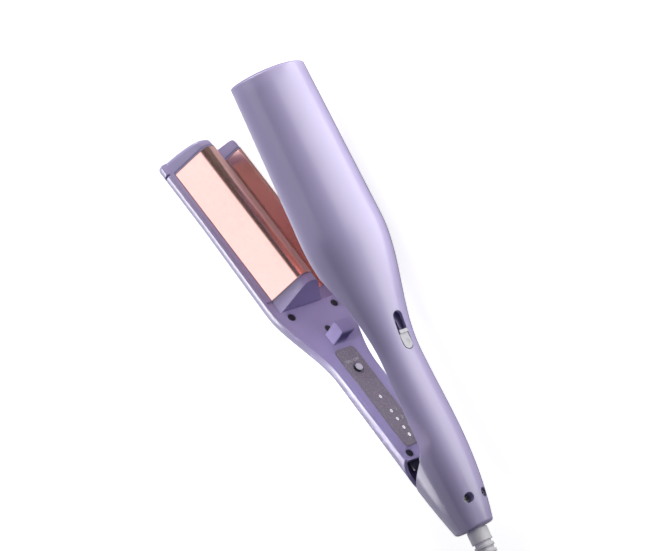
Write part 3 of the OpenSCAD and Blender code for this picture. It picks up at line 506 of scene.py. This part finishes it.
barrel_near = clipped(moved(wave_path(), plate_gap), barrel_plate_edge_z)
barrel_far = clipped(moved(wave_path(), plate_gap + plate_t), barrel_plate_edge_z)
count = min(len(barrel_near), len(barrel_far))
barrel_near = barrel_near[:count - 1] + barrel_near[-1:]
barrel_far = barrel_far[:count - 1] + barrel_far[-1:]
barrel_plate = bent_sheet("barrel_plate_sheet", barrel_near, barrel_far, plate_s,
                          plate_s + plate_l, coated_metal("rose_gold_barrel",
                          colour(231, 182, 177), colour(235, 188, 183)), "main_arm")
place_closed(barrel_plate)
smooth(barrel_plate, 40)
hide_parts("barrel_plate")

control_plate = bent_sheet("control_plate_sheet", wave_path(), moved(wave_path(), -plate_t),
                           plate_s, plate_s + plate_l, coated_metal("rose_gold_control",
                           colour(231, 182, 177), colour(235, 188, 183)), "control_arm")
place_open(control_plate)
smooth(control_plate, 40)
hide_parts("control_plate")


# ---- Control arm's shell ----
# The back of the slim arm is one moulding in lavender plastic, a squarish half oval that
# widens a little along the jaw and then narrows into the handle. Its tail is cut open.
control_end_s, handle_s = 0.255, 0.172
collar_a, collar_d, handle_a, handle_d, tail_d = 0.0296, 0.0146, 0.0158, 0.0124, 0.0146
squareness = 2.4
widen_s, narrow_s = 0.045, collar_s + 0.004
tail_l, tail_cut = 0.016, 62


def widened(s):
    """How far the jaw has widened, from 0 to 1."""
    return max(0.0, s - widen_s) / (collar_s - widen_s)


def narrowed(s):
    """How far the collar has narrowed into the handle, from 0 to 1."""
    return ease((s - narrow_s) / (handle_s - narrow_s))


def control_a(s):
    """Half the width of the control arm at a distance from its tip."""
    if s < collar_s:
        return jaw_a + (collar_a - jaw_a) * widened(s)
    return collar_a - (collar_a - handle_a) * narrowed(s)


def control_d(s):
    """How deep the control arm is behind the mating plane."""
    if s < collar_s:
        return jaw_d + (collar_d - jaw_d) * widened(s)
    if s < handle_s:
        return collar_d - (collar_d - handle_d) * narrowed(s)
    return handle_d + (tail_d - handle_d) * (s - handle_s) / (control_end_s - handle_s)


def back_curve(a, d, steps, cut=0.0):
    """The squarish half oval in Y, Z, left open by a cut in degrees at both its ends."""
    points = []
    for k in range(steps + 1):
        t = math.radians(cut + k * (180 - 2 * cut) / steps)
        c = math.cos(t)
        points.append((d * max(0.0, math.sin(t)) ** (2 / squareness),
                       a * math.copysign(abs(c) ** (2 / squareness), c)))
    return points


def lofted(name, rings, finish, body, ends=True):
    """A closed skin over rings of points, each as (X, Y, Z)."""
    points, faces, count = [p for ring in rings for p in ring], [], len(rings[0])
    for i in range(len(rings) - 1):
        for k in range(count):
            n = (k + 1) % count
            faces.append((i * count + k, i * count + n, (i + 1) * count + n, (i + 1) * count + k))
    if ends:
        half = count // 2
        for first in (0, (len(rings) - 1) * count):
            faces += [(first + k, first + k + 1, first + count - 2 - k, first + count - 1 - k)
                      for k in range(half - 1)]
    return outward(new_piece(name, points, faces, finish, body))


def hollow_ring(s, a, d, cut=0.0, steps=60):
    """The section of a half-oval wall: its outer face, then its inner face back again."""
    return [(arm_l - s, y, z) for y, z in back_curve(a, d, steps, cut)
            + back_curve(a - wall, d - wall, steps, cut)[::-1]]


shell_stations = [plate_s + 0.00015, 0.026, widen_s, 0.067, 0.089]
shell_stations += [collar_s + k * 0.002 for k in range(33)]
shell_stations += [0.185, 0.195, 0.205, 0.215, 0.225, 0.232]
shell_stations += [control_end_s - tail_l + k * 0.001 for k in range(17)]


def rim_cut(s):
    """How many degrees of the half oval are cut away on each side, in the tail."""
    tail = control_end_s - tail_l
    return 0.0 if s < tail else tail_cut * ((s - tail) / tail_l) ** 0.8


shell_rings = [hollow_ring(s, control_a(s), control_d(s), rim_cut(s)) for s in shell_stations]
control_shell = lofted("control_arm_shell", shell_rings, lavender_plastic("control_lavender"),
                       "control_arm")
place_open(control_shell)
smooth(control_shell, 35)
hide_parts("control_shell")

# ---- Tip cap ----
# A heat-resistant moulding closes the tip of the control arm. It follows the wave of the
# plate on its inner side, bulges a little forward, and its front edge is rounded over.
cap_l, cap_joint, cap_over, cap_rise = 0.007, 0.0014, 0.0019, 0.0004
cap_lean, cap_bulge, cap_back, cap_lip_share = 0.12, 0.0016, 0.006, 0.3
cap_round_s, cap_shrink = 0.0015, 0.075


def crossing(path, z):
    """Where a path in Y, Z crosses a height."""
    for a, b in zip(path, path[1:]):
        if (a[1] - z) * (b[1] - z) <= 0 and a[1] != b[1]:
            return a[0] + (b[0] - a[0]) * (z - a[1]) / (b[1] - a[1])
    return path[-1][0] if abs(path[-1][1] - z) < abs(path[0][1] - z) else path[0][0]


inner_side = [(0.0, jaw_a)] + [tuple(p) for p in moved(wave_path(), -cap_rise)]
inner_side.append((lip_y + 0.001, -jaw_a))
outer_side = back_curve(jaw_a, jaw_d, 120)
cap_heights = [jaw_a * math.copysign(1 - (1 - abs(t)) ** 1.6, t)
               for t in [1 - k / 60 for k in range(121)]]
cap_heights = sorted(set(round(z, 7) for z in cap_heights), reverse=True)


def cap_ring(s, size):
    """One ring of the cap, a little smaller where the front edge rounds over."""
    left = [(crossing(inner_side, z), z) for z in cap_heights]
    right = [(crossing(outer_side, z), z) for z in cap_heights]
    ring, front = [], s < cap_l - cap_joint
    for y, z in left + right[::-1]:
        bulge = cap_bulge * math.sin(math.pi * max(0, min(1, (jaw_a - z) / (jaw_a - crest_z))))
        ring.append((arm_l - s + (cap_lean * y + bulge if front else 0),
                     y * size + cap_back * (1 - size),
                     z * (1 - (1 - size) * cap_lip_share if z < 0 else size)))
    return ring


cap_steps = [(cap_l - cap_joint, 1.0), (cap_l - cap_joint - 0.0004, 1.0), (cap_round_s, 1.0)]
for k in range(1, 9):
    a = math.radians(90 * k / 8)
    cap_steps.append((cap_round_s - (cap_over + cap_round_s) * math.sin(a),
                      1 - cap_shrink * (1 - math.cos(a))))
tip_cap = lofted("tip_cap_moulding", [cap_ring(s, size) for s, size in cap_steps],
                 lavender_plastic("cap_lavender", 0.0012), "control_arm")
place_open(tip_cap)
smooth(tip_cap, 45)
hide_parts("tip_cap")

# ---- Rear cover ----
# A lavender cover closes the rear of the barrel arm round the hinge, and its two cheeks
# run forward past the tail of the control arm.
rear_cover_depth, cheek_front, cheek_back = 0.013, 0.0484, 0.0322


def cover_depth(x):
    """How deep the cover is: its back lies along the open control arm."""
    return rear_cover_depth + x * math.tan(open_angle)


def cover_inset(x):
    """How far the rounded rear edge lies inside the cover's outline."""
    return 0 if x >= rear_round else rear_round * (1 - math.sqrt(1 - (1 - x / rear_round) ** 2))


cover_rings, cover_inner = [], []
cover_stations = [0, 0.0001, 0.0003, 0.0006, 0.001, 0.0015, rear_round]
cover_stations += [0.004 + 0.003 * k for k in range(18)]
for x in cover_stations:
    a = barrel_r(min(arm_l - x, arm_l - rear_round)) - cover_inset(x)
    d = cover_depth(x) - cover_inset(x)
    cover_rings.append([(x, y, z) for y, z in [(-0.001, a)] + back_curve(a, d, 60)
                        + [(-0.001, -a)]])
    if x >= rear_round:
        cover_inner.append([(x + (0.0002 if x == rear_round else 0), y, z) for y, z in
                            [(-0.001, a - wall)] + back_curve(a - wall, d - wall, 60)
                            + [(-0.001, wall - a)]])


def capped(name, rings):
    """A loft whose two ends are single flat faces."""
    piece = lofted(name, rings, None, None, ends=False)
    mesh, count = piece.data, len(rings[0])
    points = [tuple(v.co) for v in mesh.vertices]
    faces = [tuple(p.vertices) for p in mesh.polygons]
    faces += [tuple(range(count)), tuple((len(rings) - 1) * count + k for k in range(count))]
    bpy.data.objects.remove(piece)
    return outward(new_piece(name, points, faces, None, None))


rear_cover = capped("rear_cover_moulding", cover_rings)
combine(rear_cover, capped("cover_room", cover_inner))
combine(rear_cover, prism("below", [(-0.001, -far), (0.1, -far), (0.1, 0.00015),
                                    (-0.001, 0.00015)], -far, far, "z"))
cheek_depth = cover_depth(cheek_back)
combine(rear_cover, prism("cheek", [(cheek_front, -0.001), (cheek_front, 0),
        (cheek_back, cheek_depth), (cheek_back, far), (0.11, far), (0.11, -0.001)],
        -far, far, "z"))
combine(rear_cover, turned("swivel_hole", swivel_hole, 48))
rear_cover.data.materials.clear()
rear_cover.data.materials.append(lavender_plastic("rear_lavender"))
place_closed(rear_cover)
smooth(rear_cover, 30)
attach(rear_cover, "main_arm")
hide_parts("rear_cover")

# ---- Lock ----
# A pale knob slides in the slot of the barrel arm. Inside it carries a dark plastic hook
# whose nose goes into the catch of the control arm.
dress("lock_knob", moulded("knob_plastic", colour(174, 171, 188), colour(186, 183, 199), 0.32,
                           900.0, bevel=0.0004))
hook_plastic = moulded("hook_plastic", colour(34, 32, 40), colour(48, 46, 56), 0.45, 500.0,
                       bevel=0.0003)
dress("lock_hook", hook_plastic)
dress("button_switch", hook_plastic)


# ---- Control panel ----
# A thin inlay of warm grey plastic with fine metallic flakes lies in the inner cover, with
# a hole for the button and five small windows over the lamps. It has plain pale print.
def flaked(name, dark, light):
    """The panel's plastic: a grained finish with fine pale flakes in it."""
    finish = moulded(name, dark, light, 0.34, 2600.0, 0.05, 0.0003, 0.2)
    nodes, links = finish.node_tree.nodes, finish.node_tree.links
    shader = nodes["Principled BSDF"]
    place = [n for n in nodes if n.type == "TEX_COORD"][0]
    flakes = nodes.new("ShaderNodeTexVoronoi")
    flakes.inputs["Scale"].default_value = 2600.0
    links.new(place.outputs["Object"], flakes.inputs["Vector"])
    pick = nodes.new("ShaderNodeValToRGB")
    pick.color_ramp.elements[0].position = 0.6
    pick.color_ramp.elements[0].color = (0, 0, 0, 1)
    pick.color_ramp.elements[1].position = 0.9
    pick.color_ramp.elements[1].color = (0.6, 0.6, 0.6, 1)
    links.new(flakes.outputs["Color"], pick.inputs["Fac"])
    mix = nodes.new("ShaderNodeMix")
    mix.data_type = "RGBA"
    tones = [n for n in nodes if n.type == "VALTORGB"][0]
    links.new(pick.outputs["Color"], mix.inputs["Factor"])
    links.new(tones.outputs["Color"], mix.inputs["A"])
    mix.inputs["B"].default_value = colour(190, 182, 190)
    links.new(mix.outputs["Result"], shader.inputs["Base Color"])
    return finish


dress("control_panel", flaked("panel_plastic", colour(130, 121, 133), colour(144, 135, 147)))
painted_glow_window = moulded("window_painted_glow", colour(236, 234, 240), colour(246, 244, 248), 0.2, 400.0)
dress("indicator_windows", painted_glow_window)
# The windows glow by emission, though the lamps behind them are unlit: a painted glow.
window_shader = painted_glow_window.node_tree.nodes["Principled BSDF"]
window_shader.inputs["Emission Color"].default_value = (1.0, 0.98, 1.0, 1.0)
window_shader.inputs["Emission Strength"].default_value = 1.0
dress("indicator_lamps", moulded("lamp_plastic", colour(244, 240, 228), colour(252, 248, 238),
                                 0.2, 400.0))
dress("circuit_board", moulded("board_lacquer", colour(30, 84, 54), colour(44, 104, 66), 0.4,
                               500.0))


panel_end_s, panel_l = control_end_s - 0.024, 0.075
button_s = panel_end_s - panel_l + 0.0157
print_y, print_z, print_size = -0.00053, -0.0042, 0.0028


def printed(name, words, s, z, size, finish):
    """Thin printed characters on the panel, upright when the tip of the arm points up."""
    text = bpy.data.curves.new(name, "FONT")
    text.body = words
    text.size = size
    text.align_x = "CENTER"
    text.align_y = "CENTER"
    holder = bpy.data.objects.new(name + "_text", text)
    bpy.context.scene.collection.objects.link(holder)
    graph = bpy.context.evaluated_depsgraph_get()
    flat = bpy.data.meshes.new_from_object(holder.evaluated_get(graph))
    points = [(arm_l - s + v.co.y, print_y, z - v.co.x) for v in flat.vertices]
    faces = [tuple(polygon.vertices) for polygon in flat.polygons]
    bpy.data.objects.remove(holder)
    piece = new_piece(name, points, faces, finish, "control_arm")
    place_open(piece)
    return piece


ink = moulded("pale_ink", colour(214, 211, 220), colour(226, 223, 232), 0.5, 600.0)
printed("panel_on_off", "ON / OFF", button_s - 0.0059, 0.0, 0.0026, ink)
for number, ahead in enumerate((0.0252, 0.0189, 0.0123, 0.0067), 1):
    printed("panel_number_" + str(number), str(number), panel_end_s - ahead, print_z, print_size,
            ink)

# ---- Power button ----
# A small round button, pale on top, stands nearly two millimetres proud of the panel and
# springs back when it is let go. Its side is painted dark, as painted shade round the button.
button_x = arm_l - button_s
profile = [(0.0016, -0.0023), (0.00205, -0.00222), (0.00235, -0.00205), (0.0025, -0.0017),
           (0.0025, 0.0031)]
button_points, button_faces, around = [], [], 40
for radius, y in profile:
    for k in range(around):
        a = 2 * math.pi * k / around
        button_points.append((button_x + radius * math.cos(a), y, radius * math.sin(a)))
for i in range(len(profile) - 1):
    for k in range(around):
        n = (k + 1) % around
        button_faces.append((i * around + k, i * around + n, (i + 1) * around + n,
                             (i + 1) * around + k))
button_faces.append(tuple(range(around)))
button_faces.append(tuple((len(profile) - 1) * around + k for k in range(around)))
power_button = new_piece("power_button_cap", button_points, button_faces,
                         moulded("button_top", colour(232, 230, 238), colour(244, 242, 248),
                                 0.3, 700.0), "button")
power_button.data.materials.append(moulded("button_side_painted_shade", colour(26, 24, 30),
                                           colour(38, 36, 44), 0.4, 500.0))
outward(power_button)
# The side and the underside take the dark finish, which is painted shade, not the button's own
# colour.
for polygon in power_button.data.polygons:
    centre = polygon.center
    if math.hypot(centre.x - button_x, centre.z) > 0.00244 or centre.y > 0:
        polygon.material_index = 1
place_open(power_button)
smooth(power_button, 50)
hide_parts("power_button")

# ---- Metal parts ----
# Screws, hinge bracket, pin and spring are plain steel. The heat spreaders are aluminium
# bars behind the plates, with ceramic heaters that mica clamps press on.
plain_steel = moulded("plain_steel", colour(78, 78, 86), colour(100, 100, 108), 0.3, 300.0,
                      bevel=0.0002, metallic=1.0)
for node in ("rear_screws", "cover_screws", "barrel_cover_screws", "hinge_bracket", "hinge_pin",
             "hinge_spring", "swing_bracket", "thermal_fuse", "temperature_sensor"):
    dress(node, plain_steel)
bar_aluminium = moulded("bar_aluminium", colour(186, 188, 192), colour(206, 208, 212), 0.35, 300.0,
                        metallic=1.0)
for node in ("barrel_heat_spreader", "control_heat_spreader"):
    dress(node, bar_aluminium)
heater_ceramic = moulded("heater_ceramic", colour(228, 224, 216), colour(242, 238, 230), 0.6,
                         400.0)
for node in ("barrel_heater", "control_heater", "barrel_heater_clamp", "control_heater_clamp"):
    dress(node, heater_ceramic)

# ---- Studio ----
# A plain white floor, a wide light table and a low lamp on the side of the barrel arm, and
# softer lamps behind, above and past the tips. The plates mirror two black cards, and a
# third one shades the rear.
floor_mesh = bpy.data.meshes.new("floor")
floor_mesh.from_pydata([(-6, -6, 0), (6, -6, 0), (6, 6, 0), (-6, 6, 0)], [], [(0, 1, 2, 3)])
floor = bpy.data.objects.new("floor", floor_mesh)
bpy.context.scene.collection.objects.link(floor)
floor_paint = bpy.data.materials.new("floor_paint")
floor_paint.use_nodes = True
floor_nodes, floor_links = floor_paint.node_tree.nodes, floor_paint.node_tree.links
floor_shader = floor_nodes["Principled BSDF"]
floor_shader.inputs["Roughness"].default_value = 0.9
floor_speck = floor_nodes.new("ShaderNodeTexNoise")
floor_speck.inputs["Scale"].default_value = 40.0
floor_tone = floor_nodes.new("ShaderNodeValToRGB")
floor_tone.color_ramp.elements[0].color = colour(236, 236, 238)
floor_tone.color_ramp.elements[1].color = colour(244, 244, 245)
floor_links.new(floor_speck.outputs["Fac"], floor_tone.inputs["Fac"])
floor_links.new(floor_tone.outputs["Color"], floor_shader.inputs["Base Color"])
floor_rays = floor_nodes.new("ShaderNodeLightPath")
floor_seen = floor_nodes.new("ShaderNodeMath")
floor_seen.operation = "MULTIPLY"
floor_seen.inputs[1].default_value = 0.8
floor_links.new(floor_rays.outputs["Is Camera Ray"], floor_seen.inputs[0])
floor_shader.inputs["Emission Color"].default_value = (1, 1, 1, 1)
floor_links.new(floor_seen.outputs[0], floor_shader.inputs["Emission Strength"])
floor_mesh.materials.append(floor_paint)


def lamp(name, place, target, width, height, power, tint=(1.0, 1.0, 1.0)):
    """A flat studio lamp that faces its target."""
    light = bpy.data.lights.new(name, "AREA")
    light.color = tint
    light.shape = "RECTANGLE"
    light.size, light.size_y, light.energy = width, height, power
    holder = bpy.data.objects.new(name, light)
    bpy.context.scene.collection.objects.link(holder)
    holder.location = place
    holder.rotation_euler = (Vector(target) - Vector(place)).to_track_quat("-Z", "Y").to_euler()
    return holder


warm = (0.97, 1.0, 0.85)
lamp("side_lamp", (0.8, -1.4, 0.25), (0.0, -0.02, 0.03), 1.3, 0.4, 3.6, warm)
lamp("rim_lamp", (0.2, 1.28, 0.96), (0.0, 0.0, 0.03), 1.0, 0.5, 15.0)
lamp("top_lamp", (0.55, -0.20, 1.16), (0.0, 0.0, 0.03), 0.6, 0.5, 0.85)
lamp("tip_lamp", (1.35, 0.02, 0.25), (0.0, 0.02, 0.04), 0.5, 0.4, 10.0)
panel_lamp = lamp("panel_lamp", (0.0, -0.1352, 0.284), (-0.040, -0.0042, 0.034), 0.125, 0.022,
                  0.0068)
panel_lamp.data.spread = math.radians(4)
beam_back = unit((0.040, -0.131, 0.250))
arm_line = Vector((math.cos(open_angle), math.sin(open_angle), 0))
along = unit(arm_line - beam_back * arm_line.dot(beam_back))
panel_lamp.rotation_euler = Matrix((along, beam_back.cross(along),
                                    beam_back)).transposed().to_euler()
light_table = lamp("light_table", (0.66, -0.768, 0.003), (0.66, -0.768, 1.0), 1.64, 1.4, 17.5,
                   warm)
light_table.visible_camera = False

card_felt = moulded("card_felt", colour(20, 18, 20), colour(30, 28, 30), 0.9, 80.0)


def card(name, corners, faces, mirrored):
    """A black card out of the picture. It is either mirrored by the plates or casts a shadow."""
    mesh = bpy.data.meshes.new(name)
    mesh.from_pydata(corners, [], faces)
    mesh.materials.append(card_felt)
    piece = bpy.data.objects.new(name, mesh)
    bpy.context.scene.collection.objects.link(piece)
    piece.visible_camera = False
    piece.visible_diffuse = False
    piece.visible_glossy = mirrored
    piece.visible_shadow = not mirrored


card("dark_card", [(-0.6, -0.10, 1.25), (0.24, -0.10, 1.25), (0.24, -0.47, 1.22),
                   (1.5, -0.47, 1.22), (1.9, -1.7, 0.45), (-0.6, -1.7, 0.75)],
     [(0, 1, 2, 5), (2, 3, 4, 5)], True)
card("tip_card", [(0.17, -0.16, 0.004), (0.17, 0.03, 0.004), (0.17, 0.03, 0.078),
                  (0.17, -0.16, 0.078)], [(0, 1, 2, 3)], True)
card("rear_flag", [(-0.19, 0.16, 0.07), (-0.05, 0.16, 0.07), (-0.05, 0.16, 0.24),
                   (-0.19, 0.16, 0.24)], [(0, 1, 2, 3)], False)

# The camera and the plates see a white world, but it gives the handset little light.
world = bpy.data.worlds.new("studio")
bpy.context.scene.world = world
world.use_nodes = True
world_nodes, world_links = world.node_tree.nodes, world.node_tree.links
soft = world_nodes["Background"]
soft.inputs["Color"].default_value = (0.86, 0.86, 1, 1)
soft.inputs["Strength"].default_value = 0.13
white = world_nodes.new("ShaderNodeBackground")
white.inputs["Color"].default_value = (1, 1, 1, 1)
white.inputs["Strength"].default_value = 1.0
rays = world_nodes.new("ShaderNodeLightPath")
seen = world_nodes.new("ShaderNodeMath")
seen.operation = "MAXIMUM"
world_links.new(rays.outputs["Is Camera Ray"], seen.inputs[0])
world_links.new(rays.outputs["Is Transmission Ray"], seen.inputs[1])
seen_too = world_nodes.new("ShaderNodeMath")
seen_too.operation = "MAXIMUM"
world_links.new(seen.outputs[0], seen_too.inputs[0])
world_links.new(rays.outputs["Is Glossy Ray"], seen_too.inputs[1])
choose = world_nodes.new("ShaderNodeMixShader")
world_links.new(seen_too.outputs[0], choose.inputs["Fac"])
world_links.new(soft.outputs[0], choose.inputs[1])
world_links.new(white.outputs[0], choose.inputs[2])
world_links.new(choose.outputs[0], world_nodes["World Output"].inputs["Surface"])
